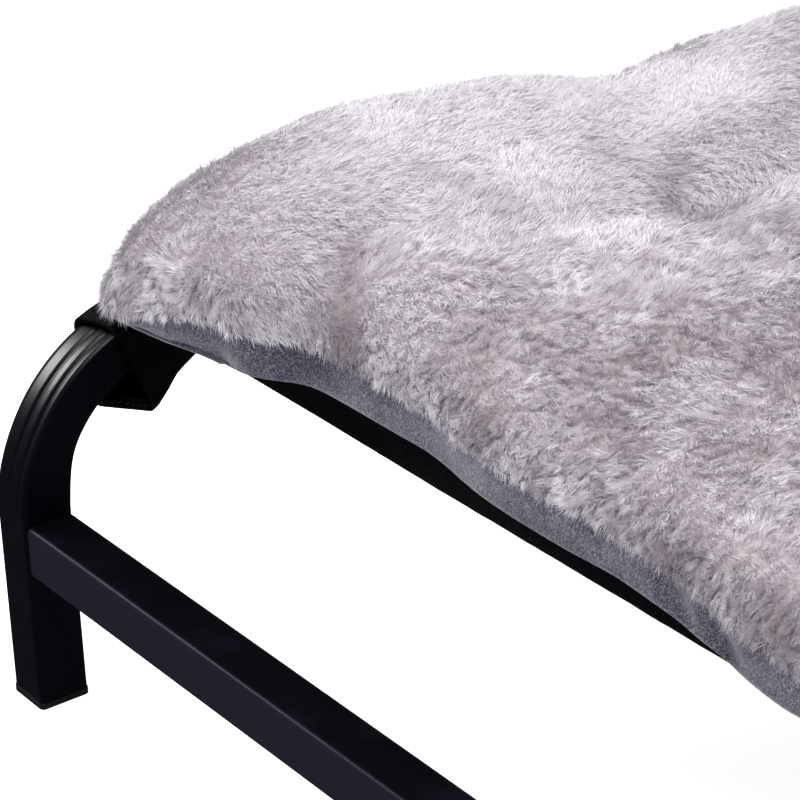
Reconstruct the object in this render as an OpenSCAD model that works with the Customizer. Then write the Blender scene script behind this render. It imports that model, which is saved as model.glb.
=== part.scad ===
/* [Frame] */
// Length over the two end frames, along X
frame_l = 1000; // [800:10:1100]
// Width over the legs, along Y
frame_w = 700; // [600:10:760]
// Height of the top bars above the floor
frame_h = 180; // [170:5:220]
// Side of the square frame tube
tube = 25; // [24:0.5:26]
// Wall thickness of every tube
tube_wall = 1.2; // [1:0.1:1.5]
// Radius on the corners of the tube's section
tube_r = 2.5; // [2:0.5:3]
// Outer radius of the bend between a leg and its top bar
bend_r = 86; // [80:1:92]
// Thickness of a foot cap's flange, under the tube
foot_t = 3; // [2:0.5:5]
// How far a foot cap's plug goes up inside the leg
foot_plug = 20; // [12:1:30]

/* [Stretchers and side rails] */
// Width of a low stretcher, along Y
stretcher_w = 24; // [22:1:24]
// Height of a low stretcher, along Z
stretcher_h = 25; // [22:1:28]
// Height of the stretchers' top faces above the floor
stretcher_top = 94; // [70:1:94]
// How far the stretchers stand back from the legs' outer faces
stretcher_inset = 1; // [0:0.5:1]
// How far the side rails stand back from the legs' outer faces
rail_inset = 97; // [93:1:120]
// Length of the welded stub inside each end of a side rail
spigot_l = 60; // [30:5:90]
// Radius of the stretcher bolts
bolt_r = 3; // [2.5:0.5:3]

/* [Sling] */
// Thickness of the sewn cloth round the bars
cloth_t = 1; // [0.8:0.1:1.2]
// Thickness of the mesh panel
mesh_t = 0.8; // [0.6:0.1:1]
// Angle up the bend at which a cuff's mouth crosses it
mouth_angle = 66; // [60:1:72]
// How far a loose cuff hangs below its bar
cuff_drop = 22; // [12:1:24]
// Width of the stitched hem round a cuff's mouth
hem_w = 7; // [5:0.5:9]

/* [Mat] */
// Length of the mat, along X
mat_l = 1010; // [900:10:1020]
// Width of the mat, along Y
mat_w = 560; // [500:10:570]
// Thickness of the mat at its crown
mat_h = 68; // [60:1:75]
// Height of the suede band round the mat's side
band_h = 13; // [10:1:18]
// Corner radius of the mat, seen from above
mat_corner_r = 48; // [46:1:80]
// Radius of the mat's rounded top edge
mat_edge_r = 42; // [36:1:42]
// Thickness of the plush and its backing
plush_t = 6; // [4:0.5:9]
// Thickness of the suede cloth
suede_t = 1.2; // [1:0.1:2]

/* [Hidden] */
$fn = 48;

black = "#17181c";
black_cloth = "#101013";
zinc = "#b9bcc0";
suede_grey = "#7d7f88";
plush_grey = "#c9c3c8";
fibre_white = "#f2f2ee";

seam_gap = 0.3;                          // between pieces that only rest on or slide past each other
cloth_gap = 0.4;                         // between the cloth and the tube inside it
leg_x = (frame_l - tube) / 2;            // centre of a leg and of a top bar
leg_y = (frame_w - tube) / 2;
bend_y = frame_w / 2 - bend_r;           // centre of a bend
bend_z = frame_h - bend_r;
bar_z = frame_h - tube / 2;              // centre height of the top bars and side rails
rail_y = frame_w / 2 - rail_inset - tube / 2;
rail_end_x = frame_l / 2 - tube - seam_gap;
stretcher_y = frame_w / 2 - stretcher_inset - stretcher_w / 2;
stretcher_z = stretcher_top - stretcher_h / 2;
bolt_clearance = 0.3;
washer_r = 6.5;
washer_t = 1.2;
head_r = 5.5;
head_h = 3.3;
socket_r = 2.3;
socket_depth = 2;
nut_t = 6;
bolt_reach = tube + 12;                  // from the leg's outer face to the bolt's tip
wrap = cloth_gap + cloth_t;              // from the tube's face to the cloth's outer face
panel_z = frame_h + wrap;
panel_lap = tube / 2;                    // the mesh panel laps the sleeves to the middle of the bars
cuff_back = frame_w / 2 - rail_inset;    // a cuff's belly meets the bar here
mouth_low_y = 68 - frame_w / 2;          // the mouth's lowest point
mouth_overcut = 12;                      // how far the cuff's hollow runs out past its mouth
mouth_overcut_angle = 8;
mat_z = panel_z + mesh_t + seam_gap;
suede_edge_r = 5;

// ---- 2D sections ----

module rounded_rect(w, h, r) {
    square([w, h - 2 * r], center = true);
    square([w - 2 * r, h], center = true);
    for (sx = [-1, 1], sy = [-1, 1])
        translate([sx * (w / 2 - r), sy * (h / 2 - r)]) circle(r);
}

module tube_section(w, h, r, wall) {
    difference() {
        rounded_rect(w, h, r);
        rounded_rect(w - 2 * wall, h - 2 * wall, r - wall);
    }
}

// ---- Placing ----

// Draws a piece made for the front left corner at another corner
module at_corner(sx, sy) {
    mirror([sx > 0 ? 1 : 0, 0, 0])
        mirror([0, sy > 0 ? 1 : 0, 0])
            children();
}

module at_every_corner() {
    for (sx = [-1, 1], sy = [-1, 1]) at_corner(sx, sy) children();
}

// Extrudes a 2D shape drawn in Y and Z along X, centred on x = 0
module extrude_x(length) {
    rotate([90, 0, 90]) linear_extrude(length, center = true) children();
}

// ---- Frame ----

module leg_and_bend() {
    translate([0, -leg_y, foot_t])
        linear_extrude(bend_z - foot_t) tube_section(tube, tube, tube_r, tube_wall);
    translate([0, -bend_y, bend_z])
        rotate([90, 0, -90])
            rotate_extrude(angle = 90)
                translate([bend_r - tube / 2, 0]) tube_section(tube, tube, tube_r, tube_wall);
}

module end_frame() {
    difference() {
        union() {
            leg_and_bend();
            mirror([0, 1, 0]) leg_and_bend();
            translate([0, bend_y, bar_z])
                rotate([90, 0, 0])
                    linear_extrude(2 * bend_y) tube_section(tube, tube, tube_r, tube_wall);
        }
        for (sy = [-1, 1])
            translate([0, sy * stretcher_y, stretcher_z])
                rotate([0, 90, 0])
                    cylinder(r = bolt_r + bolt_clearance, h = 2 * tube, center = true);
    }
}

module end_frame_left() {
    color(black) translate([-leg_x, 0, 0]) end_frame();
}

module end_frame_right() {
    color(black) translate([leg_x, 0, 0]) end_frame();
}

// Flange under the leg, and a hollow plug with a cross rib up inside it
module foot_cap() {
    flange_w = tube + 2 * seam_gap;
    plug_w = tube - 2 * tube_wall - 2 * seam_gap;
    plug_wall = 2;
    color(black) translate([-leg_x, -leg_y, 0]) {
        linear_extrude(foot_t) rounded_rect(flange_w, flange_w, tube_r);
        translate([0, 0, foot_t]) linear_extrude(foot_plug) {
            tube_section(plug_w, plug_w, tube_r, plug_wall);
            square([plug_w - plug_wall, plug_wall], center = true);
        }
    }
}

module foot_cap_front_left() { at_corner(-1, -1) foot_cap(); }
module foot_cap_front_right() { at_corner(1, -1) foot_cap(); }
module foot_cap_back_left() { at_corner(-1, 1) foot_cap(); }
module foot_cap_back_right() { at_corner(1, 1) foot_cap(); }

module rail_spigots() {
    spigot_w = tube - 2 * tube_wall - 2 * seam_gap;
    color(black) at_every_corner()
        translate([-frame_l / 2 + tube + spigot_l / 2, -rail_y, bar_z])
            extrude_x(spigot_l) tube_section(spigot_w, spigot_w, tube_r, 1.5);
}

module side_rail(sy) {
    color(black) translate([0, sy * rail_y, bar_z])
        extrude_x(2 * rail_end_x) tube_section(tube, tube, tube_r, tube_wall);
}

module side_rail_front() { side_rail(-1); }
module side_rail_back() { side_rail(1); }

module stretcher(sy) {
    color(black) translate([0, sy * stretcher_y, stretcher_z])
        extrude_x(2 * rail_end_x) tube_section(stretcher_w, stretcher_h, tube_r, tube_wall);
}

module stretcher_front() { stretcher(-1); }
module stretcher_back() { stretcher(1); }

// ---- Stretcher fasteners, drawn at the front left corner along +X ----

module at_bolt() {
    at_every_corner()
        translate([-frame_l / 2, -stretcher_y, stretcher_z]) rotate([0, 90, 0]) children();
}

module stretcher_end_nuts() {
    nut_w = stretcher_w - 2 * tube_wall - 0.2;
    nut_h = stretcher_h - 2 * tube_wall - 0.2;
    color(zinc) at_bolt() translate([0, 0, tube + 1]) difference() {
        linear_extrude(nut_t) rounded_rect(nut_h, nut_w, tube_r - tube_wall);
        translate([0, 0, -1]) cylinder(r = bolt_r + 0.05, h = nut_t + 2);
    }
}

module stretcher_bolts() {
    color(zinc) at_bolt() {
        cylinder(r = bolt_r, h = bolt_reach);
        translate([0, 0, -washer_t - head_h]) difference() {
            cylinder(r1 = head_r * 0.7, r2 = head_r, h = head_h);
            translate([0, 0, -1]) cylinder(r = socket_r, h = socket_depth + 1, $fn = 6);
        }
        translate([0, 0, -washer_t]) cylinder(r = bolt_r, h = washer_t);
    }
}

module stretcher_washers() {
    color(zinc) at_bolt() translate([0, 0, -washer_t]) difference() {
        cylinder(r = washer_r, h = washer_t);
        translate([0, 0, -1]) cylinder(r = bolt_r + 0.2, h = washer_t + 2);
    }
}

// ---- Sling ----

module sling_panel() {
    color(black_cloth) translate([0, 0, panel_z + mesh_t / 2])
        cube([frame_l - 2 * tube + 2 * panel_lap, 2 * rail_y, mesh_t], center = true);
}

module wrap_section() {
    side = tube + 2 * wrap;
    tube_section(side, side, tube_r + wrap, cloth_t);
}

module side_sleeve(sy) {
    sleeve_l = frame_l - 2 * tube - 4 * wrap;
    color(black_cloth) translate([0, sy * rail_y, bar_z]) extrude_x(sleeve_l) wrap_section();
}

module sling_sleeve_front() { side_sleeve(-1); }
module sling_sleeve_back() { side_sleeve(1); }

// A point on the under edge of a cuff's loose belly, from the bar at t = 0 to the mouth at t = 1
function belly(t, grow) = [
    -cuff_back + t * (cuff_back + mouth_low_y),
    frame_h - tube - grow - cuff_drop * (1 - cos(180 * t)) / 2
];

// Outline of a cuff in Y and Z: along the outside of the bend, over the bar, and back under its loose belly.
// grow moves it out from the tube, and past_mouth, an angle, carries it out beyond the mouth.
function cuff_outline(grow, past_mouth) = concat(
    [for (a = [mouth_angle - past_mouth : 4 : 90])
        [-bend_y - (bend_r + grow) * cos(a), bend_z + (bend_r + grow) * sin(a)]],
    [[-bend_y, frame_h + grow], [-cuff_back, frame_h + grow]],
    [for (t = [0 : 0.2 : 1]) belly(t, grow)],
    past_mouth > 0 ? [belly(1, grow) - [mouth_overcut, 0]] : []
);

// One closed cuff shape, its cloth taken to the given distance from the tube
module cuff_solid(grow, past_mouth) {
    extrude_x(tube + 2 * grow) polygon(cuff_outline(grow, past_mouth));
}

module cuff() {
    difference() {
        cuff_solid(wrap, 0);
        cuff_solid(cloth_gap, mouth_overcut_angle);
        translate([0, -bend_y, bar_z])
            cube([tube + 2 * cloth_gap, 4 * tube, tube + 2 * cloth_gap], center = true);
    }
}

// Room for a side rail to pass through the sleeve's inner wall
module rail_slot() {
    slot_w = tube + 2 * wrap + 1;
    slot_h = tube + 2 * cloth_gap;
    translate([tube / 2 + wrap, -rail_y, bar_z]) cube([4 * wrap, slot_w, slot_h], center = true);
}

module end_sleeve() {
    difference() {
        union() {
            cuff();
            mirror([0, 1, 0]) cuff();
            translate([0, cuff_back, bar_z]) rotate([90, 0, 0]) linear_extrude(2 * cuff_back) wrap_section();
        }
        rail_slot();
        mirror([0, 1, 0]) rail_slot();
    }
}

module sling_sleeve_left() { color(black_cloth) translate([-leg_x, 0, 0]) end_sleeve(); }
module sling_sleeve_right() { color(black_cloth) mirror([1, 0, 0]) translate([-leg_x, 0, 0]) end_sleeve(); }

// Doubled cloth along a cuff's mouth, outside the cuff
module cuff_hem() {
    mouth_top = [-bend_y - bend_r * cos(mouth_angle), bend_z + bend_r * sin(mouth_angle)];
    mouth_low = belly(1, 0);
    slope = atan2(mouth_low[1] - mouth_top[1], mouth_low[0] - mouth_top[0]);
    mouth_len = norm(mouth_low - mouth_top);
    color(black_cloth) translate([-leg_x, 0, 0]) intersection() {
        difference() {
            cuff_solid(wrap + cloth_t, 0);
            cuff_solid(wrap, mouth_overcut_angle);
        }
        translate([0, mouth_top[0], mouth_top[1]]) rotate([slope, 0, 0])
            translate([-tube, -hem_w, 0]) cube([2 * tube, mouth_len + 2 * hem_w, hem_w]);
    }
}

module cuff_hem_front_left() { at_corner(-1, -1) cuff_hem(); }
module cuff_hem_front_right() { at_corner(1, -1) cuff_hem(); }
module cuff_hem_back_left() { at_corner(-1, 1) cuff_hem(); }
module cuff_hem_back_right() { at_corner(1, 1) cuff_hem(); }

// ---- Mat ----

// Half section of a slab's edge, from its inside out to radius corner_r, with the top edge rounded
module edge_section(h, corner_r, edge_r) {
    square([corner_r, h - edge_r]);
    square([corner_r - edge_r, h]);
    translate([corner_r - edge_r, h - edge_r]) intersection() {
        circle(edge_r);
        square(edge_r);
    }
}

// Slab with round corners and a rounded top edge, standing on z = 0
module crowned_slab(l, w, h, corner_r, edge_r) {
    core_l = l - 2 * corner_r;
    core_w = w - 2 * corner_r;
    for (sx = [-1, 1], sy = [-1, 1])
        translate([sx * core_l / 2, sy * core_w / 2, 0])
            rotate([0, 0, sx > 0 ? (sy > 0 ? 0 : -90) : (sy > 0 ? 90 : 180)])
                rotate_extrude(angle = 90) edge_section(h, corner_r, edge_r);
    for (side = [0, 180]) {
        rotate([0, 0, side]) translate([0, core_w / 2, 0])
            extrude_x(core_l) edge_section(h, corner_r, edge_r);
        rotate([0, 0, 90 + side]) translate([0, core_l / 2, 0])
            extrude_x(core_w) edge_section(h, corner_r, edge_r);
    }
    translate([0, 0, h / 2]) cube([core_l, core_w, h], center = true);
}

module mat_shell(inset, z_low, z_high, edge_r) {
    translate([0, 0, mat_z + z_low])
        crowned_slab(mat_l - 2 * inset, mat_w - 2 * inset, z_high - z_low, mat_corner_r - inset, edge_r);
}

// Shallow suede tray, turned over so that its lower edge is the rounded one
module mat_base() {
    color(suede_grey) difference() {
        translate([0, 0, 2 * mat_z + band_h]) mirror([0, 0, 1]) mat_shell(0, 0, band_h, suede_edge_r);
        mat_shell(suede_t + 3, suede_t, 2 * band_h, suede_edge_r);
    }
}

module mat_filling() {
    inset = plush_t + seam_gap;
    color(fibre_white) mat_shell(inset, suede_t + seam_gap, mat_h - inset, mat_edge_r - inset);
}

module mat_top() {
    color(plush_grey) difference() {
        mat_shell(0, band_h, mat_h, mat_edge_r);
        mat_shell(plush_t, band_h - mat_edge_r, mat_h - plush_t, mat_edge_r - plush_t);
    }
}

end_frame_left();
end_frame_right();
foot_cap_front_left();
foot_cap_front_right();
foot_cap_back_left();
foot_cap_back_right();
rail_spigots();
side_rail_front();
side_rail_back();
stretcher_front();
stretcher_back();
stretcher_end_nuts();
stretcher_bolts();
stretcher_washers();
sling_panel();
sling_sleeve_front();
sling_sleeve_back();
sling_sleeve_left();
sling_sleeve_right();
cuff_hem_front_left();
cuff_hem_front_right();
cuff_hem_back_left();
cuff_hem_back_right();
mat_base();
mat_filling();
mat_top();
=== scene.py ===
import math

import bpy
import numpy as np
from mathutils import Matrix, Vector


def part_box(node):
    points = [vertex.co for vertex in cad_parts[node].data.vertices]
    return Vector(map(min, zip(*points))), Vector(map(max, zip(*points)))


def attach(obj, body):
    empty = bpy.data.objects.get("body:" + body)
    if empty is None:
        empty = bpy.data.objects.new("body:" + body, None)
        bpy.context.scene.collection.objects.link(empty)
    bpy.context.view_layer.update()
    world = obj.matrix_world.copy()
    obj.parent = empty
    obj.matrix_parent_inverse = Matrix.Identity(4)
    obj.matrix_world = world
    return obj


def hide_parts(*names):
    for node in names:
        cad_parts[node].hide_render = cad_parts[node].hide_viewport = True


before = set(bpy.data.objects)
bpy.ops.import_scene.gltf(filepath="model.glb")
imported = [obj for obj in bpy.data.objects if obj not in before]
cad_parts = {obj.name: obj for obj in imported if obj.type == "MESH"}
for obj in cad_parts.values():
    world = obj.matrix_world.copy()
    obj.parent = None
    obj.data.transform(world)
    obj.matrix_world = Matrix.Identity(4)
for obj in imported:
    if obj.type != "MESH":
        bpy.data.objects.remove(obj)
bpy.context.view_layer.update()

# A raised dog bed: a bent steel tube frame, a sling of black mesh held round it by sewn
# sleeves, and a loose plush mat on top. Everything is in metres, +Z up, front at -Y.

# ---- sizes

# the bent end frames, as the steel they are bent from
BEND_R = 0.086            # outer radius of the bends
TUBE_WALL = 0.0012
SECTION_R = 0.0025        # radius on the tube's corners

# the sling's cloth
CLOTH_T = 0.001
PANEL_T = 0.0008
PANEL_SAG = 0.0012
PANEL_LAP = 0.0125        # how far the panel laps the sleeves
HEM_T = 0.0007            # how far a hem stands off its sleeve on either side

# the mat
PLUSH_T = 0.004
SUEDE_T = 0.0012
EDGE_RISE = 0.055         # how far in from the seam the mat reaches its full height
CORNER_R = 0.034
PILE = 0.0095             # length of the plush pile

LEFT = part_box("end_frame_left")
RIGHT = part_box("end_frame_right")
TUBE = LEFT[1].x - LEFT[0].x
WIDTH_Y = LEFT[1].y - LEFT[0].y
FRAME_TOP = LEFT[1].z
LEG_FOOT = LEFT[0].z
BEND_Y = LEFT[1].y - BEND_R          # distance of a bend's centre from the middle
BEND_Z = FRAME_TOP - BEND_R
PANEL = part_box("sling_panel")
SLEEVE_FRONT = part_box("sling_sleeve_front")
MAT_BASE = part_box("mat_base")


# ---- plain maths

def smooth(low, high, x):
    """0 below low, 1 above high, and an even rise between them."""
    t = np.clip((x - low) / (high - low), 0.0, 1.0)
    return t * t * (3.0 - 2.0 * t)


def bell(x, middle, width):
    """A rounded bump 1 high round middle."""
    return np.exp(-(((x - middle) / width) ** 2))


def hashed(cells, seed):
    """A repeatable number from 0 to 1 for each row of whole numbers."""
    n = np.full(cells.shape[0], seed * 1013904223 + 12345, np.int64)
    for column, factor in zip(cells.T, (374761393, 668265263, 2147483589)):
        n = (n + column.astype(np.int64) * factor) & 0xFFFFFFFF
        n = ((n ^ (n >> 15)) * 2246822519) & 0xFFFFFFFF
        n = ((n ^ (n >> 13)) * 3266489917) & 0xFFFFFFFF
    return ((n ^ (n >> 16)) & 0xFFFFFF) / float(0xFFFFFF)


def noise(x, y, size, seed):
    """Smooth noise from -1 to 1, with lumps about size across."""
    shape = np.broadcast(x, y).shape
    u = np.broadcast_to(x, shape).ravel() / size
    v = np.broadcast_to(y, shape).ravel() / size
    iu, iv = np.floor(u), np.floor(v)
    fu, fv = u - iu, v - iv
    fu = fu * fu * fu * (fu * (fu * 6 - 15) + 10)
    fv = fv * fv * fv * (fv * (fv * 6 - 15) + 10)
    corner = [[hashed(np.stack([iu + i, iv + j], 1), seed) for j in (0, 1)] for i in (0, 1)]
    low = corner[0][0] * (1 - fu) + corner[1][0] * fu
    high = corner[0][1] * (1 - fu) + corner[1][1] * fu
    return ((low * (1 - fv) + high * fv) * 2 - 1).reshape(shape)


def layered(x, y, size, seed, layers=3):
    """Noise of several sizes, each half the last in size and in height."""
    total = 0
    for k in range(layers):
        total = total + noise(x, y, size / 2 ** k, seed + 17 * k) / 2 ** k
    return total / 1.5        # brings the sum back to about -1 to 1


def unit(vectors):
    """Rows made one long."""
    return vectors / np.maximum(np.linalg.norm(vectors, axis=-1, keepdims=True), 1e-12)


def in_plane(vectors, normals):
    """Rows with what lies along their normals taken out."""
    return vectors - normals * (vectors * normals).sum(1, keepdims=True)


def lerp(a, b, t):
    """The value t of the way from a to b."""
    return a + (b - a) * t


def line_reach(points):
    """How far along a line of points each one is."""
    steps = np.linalg.norm(np.diff(points, axis=0), axis=1)
    return np.concatenate([[0], np.cumsum(steps)])


def interpolated(at, reach, rows):
    """Rows at distances along a line, from the rows at its points."""
    return np.stack([np.interp(at, reach, column) for column in np.transpose(rows)], -1)


def along(points, t):
    """Points at t from 0 to 1 of the way along a line of points, by its length."""
    reach = line_reach(points)
    return interpolated(t, reach / reach[-1], points)


def rounded_square(half, r, per_side, per_corner):
    """Points clockwise round a square with rounded corners, from the left end of its top side, with
    the number of points on each side. Columns: a, b and the outward direction."""
    flat = half - r
    turn = np.linspace(0, math.pi / 2, per_corner + 2)[1:-1]
    bend = np.sin(turn) + 1j * np.cos(turn)
    rows = []
    for k, count in enumerate(per_side):
        side = np.linspace(-flat, flat, count) + 1j * half
        points = np.concatenate([side, flat * (1 + 1j) + r * bend]) * (-1j) ** k
        outward = np.concatenate([np.full(count, 1j), bend]) * (-1j) ** k
        rows.append(np.stack([points.real, points.imag, outward.real, outward.imag], 1))
    return np.concatenate(rows)


# ---- meshes

def configured(thing, **values):
    """Sets a Blender object's values and gives it back."""
    for name, value in values.items():
        setattr(thing, name, value)
    return thing


def linked(name, data):
    """A new object in the scene that shows a mesh, a lamp or a camera."""
    made = bpy.data.objects.new(name, data)
    bpy.context.scene.collection.objects.link(made)
    return made


def mesh_of(name, points, faces):
    """A mesh from its points, in rows or in a grid, and its faces."""
    mesh = bpy.data.meshes.new(name)
    mesh.from_pydata([tuple(p) for p in np.reshape(points, (-1, 3))], [], [tuple(f) for f in faces])
    return mesh


def make(name, points, faces, material, body, slot, *replaced):
    """A mesh piece that rides on a body."""
    mesh = mesh_of(name, points, faces)
    mesh.validate()
    mesh.materials.append(material)
    mesh.polygons.foreach_set("use_smooth", np.ones(len(mesh.polygons), bool))
    mesh.update()
    piece = linked(name, mesh)
    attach(piece, body)
    if replaced:
        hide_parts(*replaced)
    return piece


def grid_faces(rows, columns, closed_rows=False, closed_columns=False):
    """Quads over a grid of points laid out row by row."""
    down = np.arange(rows if closed_rows else rows - 1)
    across = np.arange(columns if closed_columns else columns - 1)
    r, c = np.meshgrid(down, across, indexing="ij")
    r2, c2 = (r + 1) % rows, (c + 1) % columns
    quads = np.stack([r * columns + c, r * columns + c2, r2 * columns + c2, r2 * columns + c], -1)
    return quads.reshape(-1, 4)


def set_vectors(mesh, name, values):
    """Keeps a vector at each point: its normal, or what a material reads."""
    attribute = mesh.attributes.new(name, "FLOAT_VECTOR", "POINT")
    attribute.data.foreach_set("vector", np.asarray(values, np.float32).ravel())


def skirt(upper, lower):
    """Quads between two closed rings of points that go round side by side."""
    return np.stack([upper, lower, np.roll(lower, -1), np.roll(upper, -1)], 1)


def lay_cloth(piece, lengthwise, crosswise):
    """Keeps each point's place on the flat cloth, for the weave to follow."""
    crosswise = np.broadcast_to(crosswise, lengthwise.shape)
    set_vectors(piece.data, "cloth", np.stack([lengthwise, crosswise, 0 * lengthwise], -1))


def thicken(piece, thickness):
    """Gives a skin its thickness, inwards."""
    configured(piece.modifiers.new("thickness", "SOLIDIFY"), thickness=thickness, offset=-1.0,
               use_even_offset=False)


def finer(piece):
    """Rounds a coarse grid off by splitting its faces once."""
    configured(piece.modifiers.new("finer", "SUBSURF"), levels=1, render_levels=1)


# ---- materials

def rgb(code):
    """A #rrggbb colour as the linear one that shaders take."""
    parts = [int(code[i:i + 2], 16) / 255 for i in (1, 3, 5)]
    return tuple(c / 12.92 if c < 0.04045 else ((c + 0.055) / 1.055) ** 2.4 for c in parts) + (1.0,)


class Paint:
    """A node material and its shader."""

    def __init__(self, name, **inputs):
        self.material = bpy.data.materials.new(name)
        self.material.use_nodes = True
        self.tree = self.material.node_tree
        self.shader = self.tree.nodes["Principled BSDF"]
        self.set(**inputs)

    def add(self, kind, output=0, inputs=(), **settings):
        """Adds a node, and gives back one of its outputs. An input is a value or an output."""
        made = self.tree.nodes.new("ShaderNode" + kind)
        for name, value in settings.items():
            setattr(made, name, value)
        for name, value in dict(inputs).items():
            self.link(value, made.inputs[name])
        return made.outputs[output]

    def link(self, value, socket):
        """Gives a socket a value or another node's output."""
        if isinstance(value, bpy.types.NodeSocket):
            self.tree.links.new(value, socket)
        else:
            socket.default_value = value

    def set(self, **inputs):
        """Sets the shader's inputs, named with _ for each space."""
        for name, value in inputs.items():
            self.link(value, self.shader.inputs[name.replace("_", " ")])

    def place(self):
        """The point's place on the piece, in metres."""
        return self.add("TexCoord", "Object")

    def stored(self, name):
        """A vector kept on the mesh."""
        return self.add("Attribute", "Vector", attribute_name=name)

    def stretched(self, vector, scale):
        """A place scaled by axis, so that a pattern is drawn out along the lesser ones."""
        return self.add("Mapping", inputs={"Vector": vector, "Scale": scale})

    def cloud(self, vector, size, detail=3.0, roughness=0.55):
        """Noise from 0 to 1 with lumps about size metres across."""
        return self.add("TexNoise", "Fac", {"Vector": vector, "Scale": 1 / size,
                                            "Detail": detail, "Roughness": roughness})

    def ramp(self, value, *stops):
        """Colours between stops, each (place, colour)."""
        made = self.tree.nodes.new("ShaderNodeValToRGB")
        while len(made.color_ramp.elements) < len(stops):
            made.color_ramp.elements.new(0.5)
        for element, (place, colour) in zip(made.color_ramp.elements, stops):
            element.position = place
            element.color = rgb(colour)
        self.link(value, made.inputs["Fac"])
        return made.outputs["Color"]

    def span(self, value, low, high, start=0.0, end=1.0):
        """A value from start..end moved to low..high."""
        return self.add("MapRange", "Result", {"Value": value, "From Min": start, "From Max": end,
                                               "To Min": low, "To Max": high})

    def combine(self, first, second=0.0, how="ADD"):
        """Two values added up or otherwise combined."""
        return self.add("Math", 0, {0: first, 1: second}, operation=how)

    def bump(self, height, distance, strength=1.0, normal=None):
        """A normal tilted by a height, over another one where there is one."""
        inputs = {"Height": height, "Distance": distance, "Strength": strength}
        if normal is not None:
            inputs["Normal"] = normal
        return self.add("Bump", "Normal", inputs)


def powder_coat(name, *tones, shine, painted_wall_light):
    """Black paint baked on steel: a fine orange peel and faint wear on its corners. Where the last
    argument isn't 0, the walls that face the front and the back are painted greyer: painted light that
    they catch."""
    p = Paint(name, Specular_IOR_Level=shine)
    patches = p.cloud(p.place(), 0.035)
    worn = p.span(p.add("NewGeometry", "Pointiness"), 0.0, 0.35, 0.53, 0.62)
    # painted light: walls facing the front and the back get a greyer tone than the tops
    facing = p.add("SeparateXYZ", "Y", {"Vector": p.add("NewGeometry", "Normal")})
    wall_light = p.combine(p.combine(facing, how="ABSOLUTE"), painted_wall_light, "MULTIPLY")
    tone = p.combine(p.combine(p.span(patches, 0.0, 0.5), worn), wall_light)
    p.set(Base_Color=p.ramp(tone, *zip((0.0, 0.6, 1.0), tones)),
          Roughness=p.span(patches, 0.30, 0.36),
          Normal=p.bump(p.cloud(p.place(), 0.0011, 2.0), 0.00005))
    return p.material


def moulded_cap():
    """Matt black plastic with a spark-eroded grain."""
    p = Paint("cap_black_plastic", Specular_IOR_Level=0.4)
    patches = p.cloud(p.place(), 0.02)
    p.set(Base_Color=p.ramp(patches, (0.3, "#0d0d10"), (0.7, "#17171b")),
          Roughness=p.span(patches, 0.52, 0.66),
          Normal=p.bump(p.cloud(p.place(), 0.0006, 2.0), 0.00008))
    return p.material


def plated_steel():
    """Zinc plate, a little uneven from its bath."""
    p = Paint("zinc_plated_steel", Metallic=1.0)
    bloom = p.cloud(p.place(), 0.004)
    brushed = p.cloud(p.stretched(p.place(), (1.0, 9.0, 9.0)), 0.003, 4.0)
    p.set(Base_Color=p.ramp(bloom, (0.25, "#8f9398"), (0.6, "#b9bdc2"), (0.85, "#c9c4b4")),
          Roughness=p.span(brushed, 0.26, 0.48),
          Normal=p.bump(brushed, 0.00003))
    return p.material


def woven(name, dark, light, pitch, depth, roughness, gap):
    """Cloth woven from round yarns pitch apart, read from the cloth coordinates that the mesh keeps."""
    p = Paint(name, Specular_IOR_Level=0.08, Sheen_Weight=0.01, Sheen_Roughness=0.5)
    cloth = p.stored("cloth")
    waves = []
    for way in ("X", "Y"):
        turns = p.combine(p.add("SeparateXYZ", way, {"Vector": cloth}), 2 * math.pi / pitch, "MULTIPLY")
        waves.append(p.combine(turns, how="SINE"))
    over = p.combine(*waves, "MULTIPLY")
    yarn = p.combine(p.combine(over, how="ABSOLUTE"), 0.5, "POWER")
    twist = p.cloud(cloth, pitch * 0.4, 2.0)
    patches = p.cloud(p.place(), 0.03)
    tone = p.combine(p.span(yarn, 0.0, 0.75, gap, 1.0), p.span(patches, -0.1, 0.25))
    p.set(Base_Color=p.ramp(tone, (0.0, "#020203"), (0.35, dark), (0.9, light)),
          Roughness=p.span(twist, roughness - 0.08, roughness + 0.08),
          Normal=p.bump(p.combine(yarn, p.span(twist, 0.0, 0.3)), depth))
    return p.material


def sewing_thread():
    """Twisted black thread."""
    p = Paint("thread_black", Specular_IOR_Level=0.3, Sheen_Weight=0.2)
    twist = p.add("TexWave", "Fac", {"Vector": p.place(), "Scale": 900.0, "Distortion": 1.0},
                  bands_direction="DIAGONAL")
    p.set(Base_Color=p.ramp(twist, (0.1, "#121218"), (0.9, "#2c2c35")),
          Roughness=p.span(twist, 0.5, 0.7),
          Normal=p.bump(twist, 0.00005))
    return p.material


def suede():
    """Grey brushed microfibre, mottled where the nap lies one way or the other."""
    p = Paint("suede_grey_cloth", Specular_IOR_Level=0.15, Sheen_Weight=0.5, Sheen_Roughness=0.35)
    nap = p.cloud(p.place(), 0.0008, 2.0, 0.6)
    stroke = p.cloud(p.stretched(p.place(), (1.0, 1.0, 0.45)), 0.004, 3.0)
    patches = p.cloud(p.place(), 0.045, 2.0)
    fine = p.combine(p.span(nap, -1.2, 1.2), p.span(stroke, -0.2, 0.2))
    tone = p.combine(fine, p.span(patches, 0.05, 0.95))
    p.set(Base_Color=p.ramp(tone, (0.0, "#2c2a34"), (0.38, "#454350"),
                            (0.62, "#5c5a68"), (1.0, "#868794")),
          Roughness=p.span(nap, 0.7, 0.95),
          Normal=p.bump(nap, 0.0005, 0.8, p.bump(stroke, 0.0006, 0.6)))
    return p.material


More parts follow.
